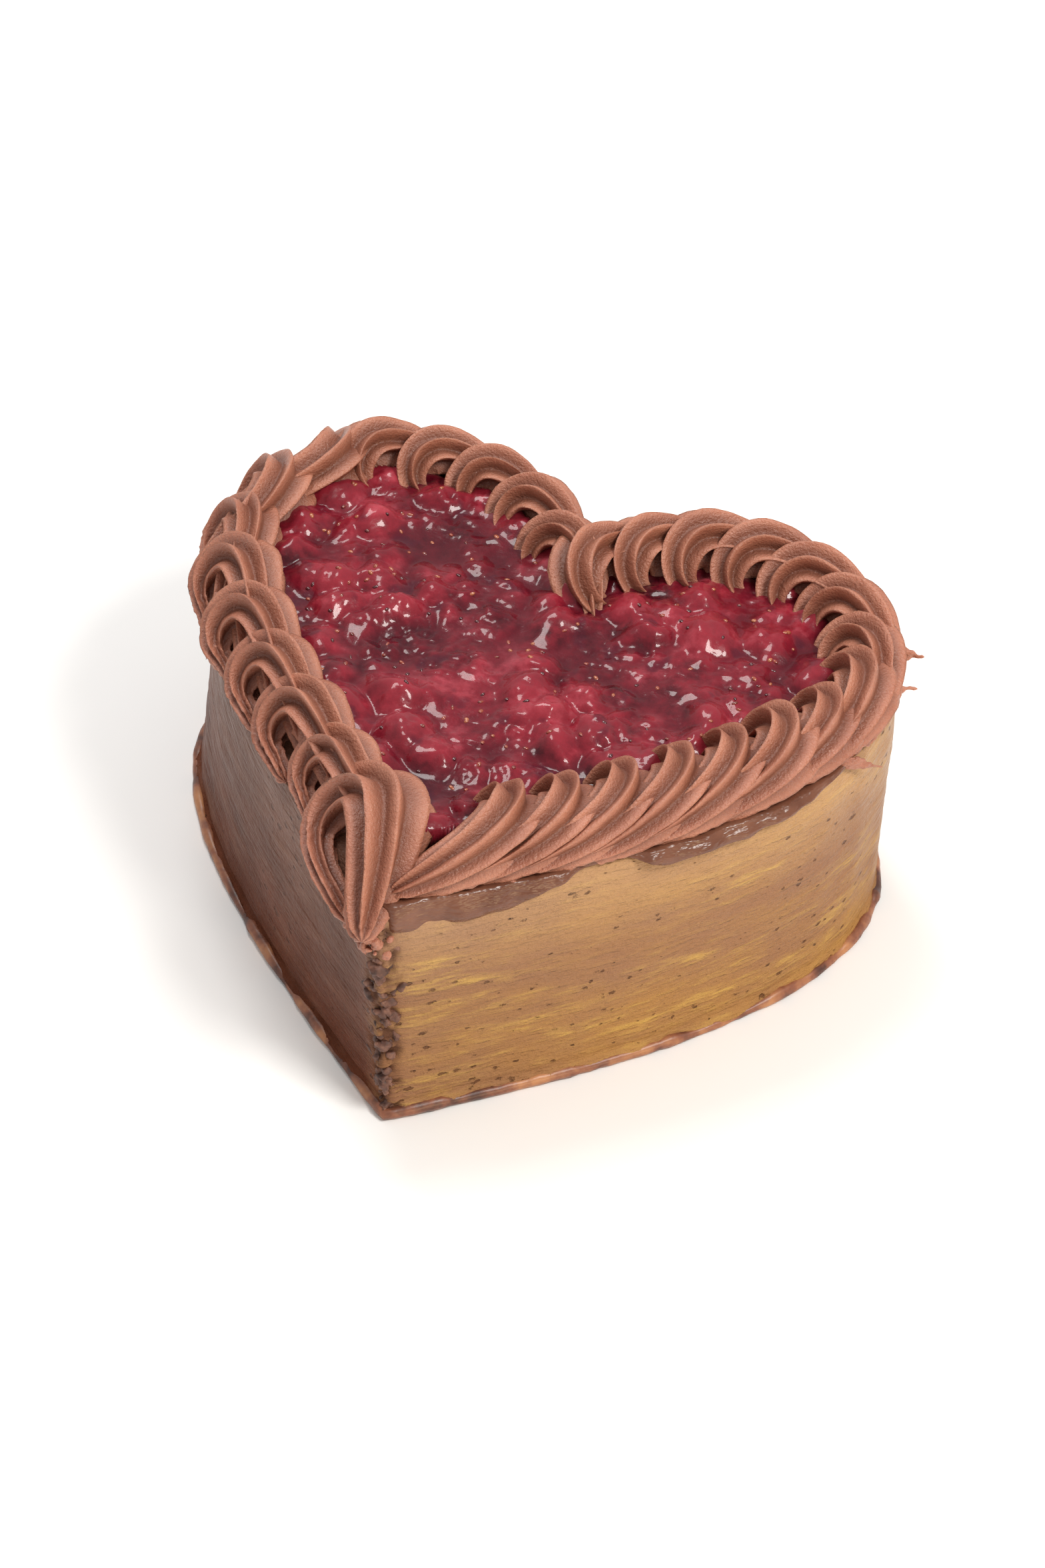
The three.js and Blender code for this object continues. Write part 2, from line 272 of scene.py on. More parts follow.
soft_mottle.links.new(cloud.outputs["Fac"], outlet.inputs["Fac"])


def mottle(tree, coordinates, stretch, scale, detail=4.0, roughness=0.55):
    cloud = add_node(tree, "ShaderNodeGroup", node_tree=soft_mottle)
    cloud.inputs["Stretch"].default_value = stretch
    cloud.inputs["Scale"].default_value = scale
    cloud.inputs["Detail"].default_value = detail
    cloud.inputs["Roughness"].default_value = roughness
    tree.links.new(coordinates, cloud.inputs["Vector"])
    return cloud.outputs["Fac"]


def blend(tree, factor, a, b):
    mix = tree.nodes.new("ShaderNodeMix")
    mix.data_type = "RGBA"
    for socket_name, value in (("Factor", factor), ("A", a), ("B", b)):
        socket = mix.inputs[socket_name]
        if isinstance(value, bpy.types.NodeSocket):
            tree.links.new(value, socket)
        elif isinstance(value, tuple):
            socket.default_value = (*value, 1)
        else:
            socket.default_value = value
    return mix.outputs["Result"]


def span(tree, value, low, high, to_low=0.0, to_high=1.0):
    """Takes the range low to high of a value to the range to_low to to_high."""
    step = tree.nodes.new("ShaderNodeMapRange")
    step.inputs["From Min"].default_value = low
    step.inputs["From Max"].default_value = high
    step.inputs["To Min"].default_value = to_low
    step.inputs["To Max"].default_value = to_high
    tree.links.new(value, step.inputs["Value"])
    return step.outputs["Result"]


def combine(tree, operation, a, b):
    """Sums, differences and products of two values."""
    node = tree.nodes.new("ShaderNodeMath")
    node.operation = operation
    for socket, value in zip(node.inputs, (a, b)):
        if isinstance(value, bpy.types.NodeSocket):
            tree.links.new(value, socket)
        else:
            socket.default_value = value
    return node.outputs["Value"]


def relief(tree, height, depth, strength=1.0, under=None):
    """Fine relief of the surface, laid over the relief under it."""
    bump = add_node(tree, "ShaderNodeBump", Distance=depth, Strength=strength)
    tree.links.new(height, bump.inputs["Height"])
    if under is not None:
        tree.links.new(under, bump.inputs["Normal"])
    return bump.outputs["Normal"]


ganache, tree, shader = fresh_material("Ganache", 0.4)
at = add_node(tree, "ShaderNodeTexCoord").outputs["Object"]
axes = add_node(tree, "ShaderNodeSeparateXYZ")
tree.links.new(at, axes.inputs[0])
across, along, height = axes.outputs["X"], axes.outputs["Y"], axes.outputs["Z"]
STREAK, GOLD_REFLECTION, MAUVE, BEIGE = (
    (0.27, 0.135, 0.085), (0.60, 0.37, 0.095), (0.225, 0.108, 0.068), (0.50, 0.295, 0.155))
DULL, CRUMB, PIT_SHADE = (0.25, 0.125, 0.080), (0.085, 0.036, 0.024), (0.105, 0.040, 0.022)
clouds = mottle(tree, at, (1, 1, 1.6), 42)
broad = mottle(tree, at, (1, 1, 2.4), 17, 2)
strokes = mottle(tree, at, (1, 1, 6), 46, 5, 0.62)
patches = mottle(tree, at, (1, 1, 1.5), 24, 2)
fine_strokes = mottle(tree, at, (1, 1, 7), 140, 3, 0.5)

# the left side is dark and satin; the grey towards the top is a painted sheen
low_wall = colour_steps(tree, clouds, [
    (0.3, (0.085, 0.023, 0.010)), (0.7, (0.155, 0.046, 0.022))])
painted_sheen_wall = colour_steps(tree, clouds, [
    (0.3, (0.135, 0.055, 0.032)), (0.7, (0.215, 0.100, 0.064))])
dark_side = blend(tree, span(tree, height, 0.012, 0.068), low_wall, painted_sheen_wall)
dark_side = blend(tree, span(tree, strokes, 0.50, 0.68, 0, 0.3), dark_side, STREAK)

# the right side is painted lighter and warmer than the left, as if lit by warm gold light: its
# strokes are the coat's own, their gold a painted reflection; duller by the tip, paler towards the
# top
warm_side = colour_steps(tree, broad, [
    (0.36, (0.300, 0.148, 0.076)), (0.64, (0.375, 0.190, 0.064))])
gold_reflection = combine(tree, "MULTIPLY", span(tree, strokes, 0.46, 0.66),
                  span(tree, fine_strokes, 0.42, 0.60, 0.15, 0.8))
gold_reflection = combine(tree, "MULTIPLY", gold_reflection, span(tree, patches, 0.40, 0.62, 0.2, 1))
by_the_tip = span(tree, across, MIDDLE_X, MIDDLE_X + 0.040, 0.55, 0)
warm_side = blend(tree, by_the_tip, warm_side, MAUVE)
warm_side = blend(tree, gold_reflection, warm_side, GOLD_REFLECTION)
warm_side = blend(tree, span(tree, height, 0.042, 0.066, 0, 0.6), warm_side, BEIGE)
warm_side = blend(tree, span(tree, clouds, 0.48, 0.8, 0, 0.5), warm_side, DULL)
# the painted warm light of the right side gives way to the left side near the middle
left_to_right = span(tree, across, MIDDLE_X - 0.008, MIDDLE_X + 0.004)
base = blend(tree, left_to_right, dark_side, warm_side)

# plain brown round the back, dark where the crumb is torn, and painted shade darkens the pits
brown = colour_steps(tree, clouds, [
    (0.3, (0.165, 0.070, 0.040)), (0.7, (0.245, 0.118, 0.072))])
base = blend(tree, span(tree, along, MIDDLE_Y + 0.018, MIDDLE_Y + 0.050), base, brown)
torn_mask = add_node(tree, "ShaderNodeAttribute", attribute_name="torn").outputs["Fac"]
base = blend(tree, span(tree, torn_mask, 0.1, 0.7, 0, 0.8), base, CRUMB)
pits = add_node(tree, "ShaderNodeTexVoronoi", Scale=210.0, Randomness=1.0)
pit_place = add_node(tree, "ShaderNodeMapping")
pit_place.inputs["Scale"].default_value = (1, 1, 1.9)
tree.links.new(at, pit_place.inputs["Vector"])
tree.links.new(pit_place.outputs["Vector"], pits.inputs["Vector"])
ragged = mottle(tree, at, (1, 1, 1), 700, 3, 0.7)
pit_rim = combine(tree, "ADD", span(tree, clouds, 0.38, 0.70, -0.10, 0.22),
                  span(tree, ragged, 0.3, 0.7, -0.10, 0.16))
pit_depth = combine(tree, "SUBTRACT", pits.outputs["Distance"], pit_rim)
pit_depth = span(tree, pit_depth, -0.06, 0.05)
# painted shade in the pits
base = blend(tree, span(tree, pit_depth, 0, 1, 0.75, 0), base, PIT_SHADE)
tree.links.new(base, shader.inputs["Base Color"])
rough = span(tree, fine_strokes, 0.3, 0.7, 0.30, 0.46)
rough = combine(tree, "ADD", rough, span(tree, torn_mask, 0, 0.5, 0, 0.3))
tree.links.new(rough, shader.inputs["Roughness"])
skin = relief(tree, strokes, 0.0030, 0.5)
skin = relief(tree, fine_strokes, 0.0013, 0.6, skin)
skin = relief(tree, ragged, 0.0008, 0.7, skin)
skin = relief(tree, pit_depth, 0.0013, 0.9, skin)
tree.links.new(skin, shader.inputs["Normal"])
sheen = span(tree, height, 0.012, 0.066, 0.04, 0.20)
tree.links.new(sheen, shader.inputs["Specular IOR Level"])
cake.data.materials.clear()
cake.data.materials.append(ganache)
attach(cake, "root")
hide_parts("ganache_cake")

# ---- Ledge of ganache --------------------------------------------------------
# Where the top was spread out over the wall, a thick glossy lip of ganache hangs
# under the piping right of the tip, in two swags. It is a flat strip laid along
# the wall and rounded out.
WALL_INSET = 2.6               # of the wall's top from the outline at the base
LEDGE_RUN = 128                # how far it runs from the tip along the right wall
LEDGE_TOP, LEDGE_RIM = 70.5, 69.2
wall_line = heart(WALL_INSET, 40, TOP_SHIFT)[:100]
wall_run = [0.0]
for a, b in zip(wall_line, wall_line[1:]):
    wall_run.append(wall_run[-1] + hypot(b[0] - a[0], b[1] - a[1]))
bpy.ops.mesh.primitive_grid_add(x_subdivisions=200, y_subdivisions=22, size=1,
                                location=(0.5, 0.5, 0))
ledge = bpy.context.object
ledge.name = "ganache_ledge"
bpy.ops.object.transform_apply(location=True, rotation=True, scale=True)
bpy.ops.object.mode_set(mode="EDIT")
bpy.ops.mesh.select_all(action="SELECT")
bpy.ops.mesh.extrude_region_move(TRANSFORM_OT_translate={"value": (0, 0, -1)})
bpy.ops.mesh.select_all(action="SELECT")
bpy.ops.mesh.normals_make_consistent(inside=False)
bpy.ops.object.mode_set(mode="OBJECT")


def along_wall(s):
    return Vector((float(np.interp(s, wall_run, [p[0] for p in wall_line])),
                   float(np.interp(s, wall_run, [p[1] for p in wall_line])), 0))


def hang(place):
    """Takes the flat strip (0 to 1 along, 0 to 1 up, 0 or -1 through) to the wall."""
    u, v, back_face = place
    s = 0.5 + LEDGE_RUN * u
    by_the_tip = 8.2 * ease((s + 5) / 6) * ease((52 - s) / 24)
    farther_on = 4.2 * ease((s - 60) / 12) * ease((LEDGE_RUN + 1 - s) / 40)
    low = LEDGE_RIM - by_the_tip - farther_on
    low += 0.8 * wave(s, 0, 0, 7, 31) * ease((69 - low) / 2)
    z = low + (LEDGE_TOP - low) * v
    spot, ahead = along_wall(s), along_wall(s + 1)
    outward = Vector((ahead.y - spot.y, spot.x - ahead.x, 0)).normalized()
    swell = (1.2 + 3.1 * ease(1.3 - v)) * sqrt(max(0.0, 1 - (1 - v) ** 3.2))
    swell *= ease((LEDGE_RIM + 1 - low) / 4)
    swell *= ease(s / 3) * ease((LEDGE_RUN + 1 - s) / 6) * (1 + 0.4 * wave(s, 0.8 * z, 0, 6, 32))
    return spot + outward * (-1.5 if back_face < -0.5 else swell - 0.5) + Vector((0, 0, z))


for vertex in ledge.data.vertices:
    vertex.co = hang(vertex.co) * MM + Vector((MIDDLE_X, MIDDLE_Y, 0))
bpy.ops.object.shade_smooth()

lip, tree, shader = fresh_material("Wet ganache", 0.24)
at = add_node(tree, "ShaderNodeTexCoord").outputs["Object"]
clouds = mottle(tree, at, (1, 1, 1), 90, 3)
base = colour_steps(tree, clouds, [(0.35, (0.130, 0.048, 0.028)), (0.65, (0.190, 0.078, 0.046))])
tree.links.new(base, shader.inputs["Base Color"])
ripples = mottle(tree, at, (1, 1, 3), 120, 3)
tree.links.new(relief(tree, ripples, 0.0025, 0.6), shader.inputs["Normal"])
shader.inputs["Specular IOR Level"].default_value = 0.35
ledge.data.materials.append(lip)
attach(ledge, "root")

# ---- Trimmed foot ------------------------------------------------------------
# The coat was trimmed at the base, which left a thin reddish-brown lip of
# ganache all round. It is one uneven bead that follows the outline.
BEAD_INSET, BEAD_HEIGHT, BEAD_RADIUS = 0.3, 1.4, 1.55
bpy.ops.curve.primitive_nurbs_path_add(location=(0, 0, 0))
foot = bpy.context.object
foot.name = "trimmed_foot"
foot.data.splines.clear()
bead = foot.data.splines.new("POLY")
outline = heart(BEAD_INSET, 60)
bead.points.add(len(outline) - 1)
bead.use_cyclic_u = True
for point, (x, y) in zip(bead.points, outline):
    grow = 1 + 0.45 * wave(x, y, 0, 10, 41) + 0.25 * wave(x, y, 0, 3.5, 42)
    point.co = (MIDDLE_X + x * MM, MIDDLE_Y + y * MM, BEAD_HEIGHT * MM * grow, 1)
    point.radius = BEAD_RADIUS * grow
foot.data.bevel_depth = MM
foot.data.bevel_resolution = 3
bpy.ops.object.convert(target="MESH")
foot = bpy.context.object
reshape(foot, lambda i, place, normal: [0.25 * wave(*place, 2.4, 43) * n for n in normal])
bpy.ops.object.shade_smooth()
red_brown, tree, shader = fresh_material("Trimmed ganache", 0.38)
at = add_node(tree, "ShaderNodeTexCoord").outputs["Object"]
clouds = mottle(tree, at, (1, 1, 1), 110, 4)
# dark red-brown, with paler orange patches that are painted highlights
base = colour_steps(tree, clouds, [
    (0.36, (0.075, 0.026, 0.017)), (0.50, (0.25, 0.088, 0.045)), (0.66, (0.46, 0.20, 0.085))])
tree.links.new(base, shader.inputs["Base Color"])
tree.links.new(relief(tree, clouds, 0.0012, 0.4), shader.inputs["Normal"])
foot.data.materials.append(red_brown)
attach(foot, "root")

# ---- Torn crumb at the tip ---------------------------------------------------
# Crumbs of the dark sponge, dragged out by the spatula, cling to the corner of
# the tip from top to base. Each is a small ball, squashed and made ragged.
CRUMBS, CRUMB_RISE = 120, (1.5, 63)
random.seed(5)
lumps = []
for number in range(CRUMBS):
    bpy.ops.object.select_all(action="DESELECT")
    high = random.uniform(*CRUMB_RISE)
    side = random.choice((-1, 1))
    away = abs(random.gauss(0, 3.2))
    size = random.choice((0.5, 0.8, 1.1, 1.5, 2.2))
    bpy.ops.mesh.primitive_ico_sphere_add(subdivisions=2 if size < 1 else 3, radius=size * MM)
    crumb = bpy.context.object
    crumb.scale = (
        random.uniform(0.6, 1.4), random.uniform(0.6, 1.4), random.uniform(0.45, 0.9))
    crumb.rotation_euler = (random.uniform(0, 6), random.uniform(0, 6), random.uniform(0, 6))
    crumb.location = (MIDDLE_X + (TOP_SHIFT * high / SHIFT_RISE + side * 0.72 * away) * MM,
                      MIDDLE_Y + (TIP_Y + 0.7 + 0.35 * size + 0.70 * away) * MM, high * MM)
    bpy.ops.object.transform_apply(location=True, rotation=True, scale=True)
    lumps.append(crumb)
for crumb in lumps:
    crumb.select_set(True)
bpy.ops.object.join()
crumbs = bpy.context.object
crumbs.name = "torn_crumbs"


def ragged_crumb(i, place, normal):
    swell = 1.1 * wave(*place, 1.5, 51) + 0.35 * wave(*place, 0.5, 52)
    return [swell * n for n in normal]


reshape(crumbs, ragged_crumb)
bpy.ops.object.shade_smooth()
sponge, tree, shader = fresh_material("Torn crumb", 0.6)
at = add_node(tree, "ShaderNodeTexCoord").outputs["Object"]
clouds = mottle(tree, at, (1, 1, 1), 300, 3)
base = colour_steps(tree, clouds, [
    (0.35, (0.045, 0.017, 0.011)), (0.50, (0.120, 0.048, 0.031)), (0.68, (0.27, 0.125, 0.08))])
tree.links.new(base, shader.inputs["Base Color"])
tree.links.new(relief(tree, clouds, 0.0006, 0.5), shader.inputs["Normal"])
crumbs.data.materials.append(sponge)
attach(crumbs, "root")

# ---- Berry compote -----------------------------------------------------------
# Crushed berries in their own juice, spooned over the top and set under a clear
# glaze. It is a fine grid cut to the heart, heaped into broken berries and wet
# ripples, and it runs in under the piping.
COMPOTE_INSET = 15
COMPOTE_H = 5.6
SHEET_WIDE, SHEET_DEEP, SHEET_Y = 172, 158, -20      # the sheet that the heart is cut from


def compote_height(x, y):
    """Height of the compote over the cake's top, in millimetres."""
    u, v = x + 2.0 * wave(x, y, 0, 9, 11), y + 2.0 * wave(x, y, 0, 9, 12)
    z = COMPOTE_H - 0.6 + 1.5 * wave(x, y, 0, 26, 13)
    near = noise.voronoi(Vector((u / 12, v / 12, 3.3)))[0][0]       # broken berries
    z += 4.2 * ease(1.2 - 1.45 * near) * ease(0.5 + 1.8 * wave(x, y, 0, 22, 14))
    near = noise.voronoi(Vector((u / 5.6, v / 5.6, 8.1)))[0][0]     # single drupes
    z += 1.2 * ease(1.1 - 1.3 * near) * ease(0.4 + 1.6 * wave(x, y, 0, 16, 15))
    near = noise.voronoi(Vector((x / 2.6, y / 2.6, 5.2)))[0][0]     # beads of a raspberry
    z += 0.8 * sqrt(max(0, 1 - (near / 0.8) ** 2)) * ease(2.6 * wave(x, y, 0, 12, 18))
    pulp = noise.fractal(Vector((x / 4.2, y / 4.2, 2.7)), 0.75, 2.0, 4)
    return z + 0.55 * pulp * ease(0.55 + 1.6 * wave(x, y, 0, 17, 19))


bpy.ops.mesh.primitive_grid_add(x_subdivisions=258, y_subdivisions=236, size=1, location=(0, 0, 0))
compote = bpy.context.object
compote.name = "berry_compote_glazed"
bpy.ops.transform.resize(value=(SHEET_WIDE * MM, SHEET_DEEP * MM, 1))
bpy.ops.transform.translate(
    value=(MIDDLE_X, MIDDLE_Y + SHEET_Y * MM, (TOP_Z + COMPOTE_H) * MM))
bpy.ops.object.transform_apply(location=True, rotation=True, scale=True)
rim = np.array(heart(COMPOTE_INSET, 40, TOP_SHIFT))
spots = np.array([v.co[:2] for v in compote.data.vertices]) / MM
spots -= np.array([MIDDLE_X, MIDDLE_Y]) / MM
inside = np.zeros(len(spots), bool)
for (x1, y1), (x2, y2) in zip(rim, np.roll(rim, 1, axis=0)):
    if y1 != y2:
        crosses = (y1 > spots[:, 1]) != (y2 > spots[:, 1])
        inside ^= crosses & (spots[:, 0] < (x2 - x1) * (spots[:, 1] - y1) / (y2 - y1) + x1)
bpy.ops.object.mode_set(mode="EDIT")
cut = bmesh.from_edit_mesh(compote.data)
bpy.ops.mesh.select_all(action="DESELECT")
cut.verts.ensure_lookup_table()
for vertex, keep in zip(cut.verts, inside):
    vertex.select = not keep
cut.select_flush(True)
bpy.ops.mesh.delete(type="VERT")
bpy.ops.mesh.select_all(action="SELECT")
bpy.ops.mesh.extrude_region_move(TRANSFORM_OT_translate={"value": (0, 0, -COMPOTE_H * MM)})
bpy.ops.mesh.select_all(action="SELECT")
bpy.ops.mesh.normals_make_consistent(inside=False)
bpy.ops.object.mode_set(mode="OBJECT")


def heap(i, place, normal):
    x, y, z = place
    return 0, 0, compote_height(x, y) - COMPOTE_H if z > TOP_Z + 0.5 * COMPOTE_H else 0


reshape(compote, heap)
heaped = [vertex.co.z / MM - TOP_Z - COMPOTE_H for vertex in compote.data.vertices]
compote.data.attributes.new("heaped", "FLOAT", "POINT").data.foreach_set("value", heaped)
bpy.ops.object.shade_smooth()

juice, tree, shader = fresh_material("Berry compote", 0.3)
at = add_node(tree, "ShaderNodeTexCoord").outputs["Object"]
lumps = mottle(tree, at, (1, 1, 1), 75, 5, 0.6)
flesh = mottle(tree, at, (1, 1, 1), 260, 4, 0.6)
base = colour_steps(tree, lumps, [
    (0.34, (0.045, 0.002, 0.006)), (0.46, (0.130, 0.006, 0.014)),
    (0.56, (0.205, 0.011, 0.022)), (0.70, (0.430, 0.062, 0.085))])
heaped = add_node(tree, "ShaderNodeAttribute", attribute_name="heaped").outputs["Fac"]
PALE_LIT_TOP, PULP, JUICE_AND_SHADE, SKIN = (
    (0.34, 0.034, 0.050), (0.27, 0.019, 0.032), (0.040, 0.002, 0.007), (0.050, 0.004, 0.014))
# paler on the heaped tops: partly the berries' paler flesh and partly painted light
base = blend(tree, span(tree, heaped, 1.0, 4.0, 0, 0.45), base, PALE_LIT_TOP)
base = blend(tree, span(tree, flesh, 0.45, 0.68, 0, 0.5), base, PULP)
# darker in the hollows: partly the juice's own dark colour and partly painted shade
base = blend(tree, span(tree, heaped, -1.3, 0.9, 0.85, 0), base, JUICE_AND_SHADE)     # in the hollows
skins = mottle(tree, at, (1, 1, 1), 130, 2, 0.4)
base = blend(tree, span(tree, skins, 0.62, 0.70, 0, 0.6), base, SKIN)
tree.links.new(base, shader.inputs["Base Color"])
wet = relief(tree, flesh, 0.0010, 0.3)
ripples = mottle(tree, at, (1, 1, 1), 900, 2, 0.5)
wet = relief(tree, ripples, 0.0002, 0.2, wet)
tree.links.new(wet, shader.inputs["Normal"])
shader.inputs["Coat Weight"].default_value = 0.9
shader.inputs["Coat Roughness"].default_value = 0.06
shader.inputs["Coat IOR"].default_value = 1.31
shader.inputs["Specular IOR Level"].default_value = 0.1
shader.inputs["Subsurface Weight"].default_value = 0.1
shader.inputs["Subsurface Radius"].default_value = (0.003, 0.0006, 0.0006)
shader.inputs["Subsurface Scale"].default_value = 1.0
compote.data.materials.append(juice)
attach(compote, "root")
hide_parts("berry_compote")

# ---- Seeds -------------------------------------------------------------------
# Tan and dark red seeds of the berries, a little over a millimetre long, lie
# scattered in the compote, most of each one sunk in.
SEEDS = 150
random.seed(9)
bpy.ops.mesh.primitive_uv_sphere_add(segments=9, ring_count=6, radius=MM)
first_seed = bpy.context.object
scattered = []
while len(scattered) < SEEDS:
    x, y = random.uniform(-76, 76), random.uniform(-84, 46)
    away = min(hypot(x - a, y - b) for a, b in rim)
    crossings = sum((b1 > y) != (b2 > y) and x < (a2 - a1) * (y - b1) / (b2 - b1) + a1
                    for (a1, b1), (a2, b2) in zip(rim, np.roll(rim, 1, axis=0)))
    if crossings % 2 == 0 or away < 5:
        continue
    bpy.ops.object.select_all(action="DESELECT")
    first_seed.select_set(True)
    bpy.context.view_layer.objects.active = first_seed
    bpy.ops.object.duplicate()
    seed = bpy.context.object
    seed.scale = [random.uniform(0.4, 0.62) * f for f in (1.55, 1, 0.8)]
    seed.rotation_euler = (0, random.uniform(-0.5, 0.5), random.uniform(0, 6.28))
    seed.location = (MIDDLE_X + x * MM, MIDDLE_Y + y * MM,
                     (TOP_Z + compote_height(x, y) - 0.1) * MM)
    bpy.ops.object.transform_apply(location=True, rotation=True, scale=True)
    scattered.append(seed)
bpy.data.objects.remove(first_seed, do_unlink=True)
for seed in scattered:
    seed.select_set(True)
bpy.ops.object.join()
seeds = bpy.context.object
seeds.name = "berry_seeds"
bpy.ops.object.shade_smooth()
pip, tree, shader = fresh_material("Berry seeds", 0.2)
at = add_node(tree, "ShaderNodeTexCoord").outputs["Object"]
tint = mottle(tree, at, (1, 1, 1), 190, 1)
base = colour_steps(tree, tint, [
    (0.42, (0.07, 0.006, 0.010)), (0.52, (0.26, 0.045, 0.025)), (0.66, (0.40, 0.13, 0.055))])
tree.links.new(base, shader.inputs["Base Color"])
shader.inputs["Coat Weight"].default_value = 0.6
seeds.data.materials.append(pip)
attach(seeds, "root")

# ---- Buttercream border ------------------------------------------------------
# Chocolate buttercream piped through an open star nozzle into overlapping
# shells, over both lobes and down each side to the tip. Each is one rope that
# starts low, curls back and up round an eye while it swells, and is drawn out
# with a turn of the wrist into a tail under the head of the next one.
cream, tree, shader = fresh_material("Buttercream", 0.45)
at = add_node(tree, "ShaderNodeTexCoord").outputs["Object"]
tint = mottle(tree, at, (1, 1, 1), 60, 3)
grain = mottle(tree, at, (1, 1, 1), 1500, 2, 0.6)
folds = mottle(tree, at, (1, 1, 1), 420, 4, 0.6)
base = colour_steps(tree, tint, [(0.35, (0.345, 0.127, 0.077)), (0.65, (0.440, 0.178, 0.112))])
GRAIN_AND_GLINT, GROOVE_SHADE = (0.54, 0.28, 0.20), (0.150, 0.048, 0.028)
# pale specks: partly the cream's own grain and partly painted glints
base = blend(tree, span(tree, grain, 0.5, 0.75, 0, 0.3), base, GRAIN_AND_GLINT)
# painted shade darkens the grooves between the ridges
groove_shade_mask = add_node(tree, "ShaderNodeAttribute", attribute_name="groove").outputs["Fac"]
base = blend(tree, span(tree, groove_shade_mask, 0.3, 1, 0, 0.82), base, GROOVE_SHADE)
tree.links.new(base, shader.inputs["Base Color"])
tree.links.new(span(tree, folds, 0.3, 0.7, 0.36, 0.5), shader.inputs["Roughness"])
skin = relief(tree, folds, 0.0009, 0.35)
skin = relief(tree, grain, 0.0005, 0.8, skin)
tree.links.new(skin, shader.inputs["Normal"])
shader.inputs["Subsurface Weight"].default_value = 0.08
shader.inputs["Subsurface Radius"].default_value = (0.003, 0.0015, 0.001)
shader.inputs["Subsurface Scale"].default_value = 1.0

RIDGES = 8
STAR_POINTS = 14 * RIDGES
GROOVE = 0.42                  # depth of the grooves, of the rope's half width
FLAT = 0.8                     # the rope's depth to its width
EYE_TILT = radians(50)         # the eye's axis leans up by this
EYE_SIDE, EYE_LIFT = 4.5, 2.6  # the eye, beside and above the border's middle line
EYE = 0.5                      # its radius
THIN, FULL = 3.7, 9.7          # half width of the rope, at its start and over the eye
START, ARCH, TAIL = 12, 30, 24  # steps of the nozzle on each leg of its way
TWIST = radians(-40)           # the nozzle turns this much on its way down the tail
BORDER_INSET = 12              # of the border's middle line from the outline
SHELL_RUNS = (                 # side, shells, first and last place along it from the cleft
    (-1, 5, 76, 10),           # over the back of the left lobe, to the cleft
    (1, 15, 6, -24),           # over the right lobe and down to the tip (measured from its end)
    (-1, 9, 90, -12),          # from the left lobe down the left side
)

bpy.ops.curve.primitive_bezier_circle_add()
nozzle = bpy.context.object
nozzle.name = "nozzle"
nozzle.data.splines.clear()
star = nozzle.data.splines.new("POLY")
star.points.add(STAR_POINTS - 1)
star.use_cyclic_u = True
for i, point in enumerate(star.points):
    turn = 2 * pi * i / len(star.points)
    ridge = 1 - GROOVE * abs(sin(RIDGES * turn / 2)) ** 1.15
    point.co = (cos(turn) * ridge, FLAT * sin(turn) * ridge, 0, 1)


def shell_path(lean, size, tail, tail_out=0.0, head_in=0.0, drop=1.5, start=None, hole=EYE):
    """The nozzle's way and the rope's half width, in metres, travelling along +X.

    The head leans off the way by lean and sits head_in to its left. The tail ends
    tail along the way, tail_out to its left and drop high. The first leg starts
    behind the eye, or at start from the tail's end. The eye's radius is hole."""
    k = size * MM
    forward = Vector((cos(lean), sin(lean), 0))
    right = Vector((sin(lean), -cos(lean), 0))
    up = Vector((0, 0, 1))
    over = up * cos(EYE_TILT) - right * sin(EYE_TILT)
    foot = Vector((0, head_in * MM, 0))
    eye = foot + right * EYE_SIDE * k + up * EYE_LIFT * k
    end = foot + Vector((tail * k, tail_out * k, drop * k))
    path = []
    leg = eye - over * (hole + THIN) * k
    begin = leg + forward * 8 * k - up * 1.2 * k if start is None else end + Vector(start) * k
    reach = (leg - begin).length
    for i in range(START):
        t = i / START
        spot = (begin * (2 * t ** 3 - 3 * t * t + 1) + (leg - begin) * (t ** 3 - 2 * t * t + t)
                + leg * (3 * t * t - 2 * t ** 3) - forward * reach * (t ** 3 - t * t))
        rounded = (0.3, 0.7, 0.93)[i] if i < 3 else 1
        path.append((spot, (0.75 + 0.25 * t) * THIN * k * rounded))
    for i in range(ARCH + 1):
        t = i / ARCH
        width = (THIN + (FULL - THIN) * ease(t)) * k
        spoke = -over * cos(t * pi) - forward * sin(t * pi)
        path.append((eye + spoke * (hole * k + width), width))
    crown = eye + over * (hole + FULL) * k
    out = forward * tail * k
    down = Vector((0.95, 0, -0.2)) * tail * k * 0.8
    for i in range(1, TAIL + 1):
        t = i / TAIL
        place = (crown * (2 * t ** 3 - 3 * t * t + 1) + out * (t ** 3 - 2 * t * t + t)
                 + end * (3 * t * t - 2 * t ** 3) + down * (t ** 3 - t * t))
        rounded = 0.5 if i == TAIL else 1
        path.append((place, FULL * (0.88 * (1 - t) ** 0.58 + 0.12) * k * rounded))
    return path


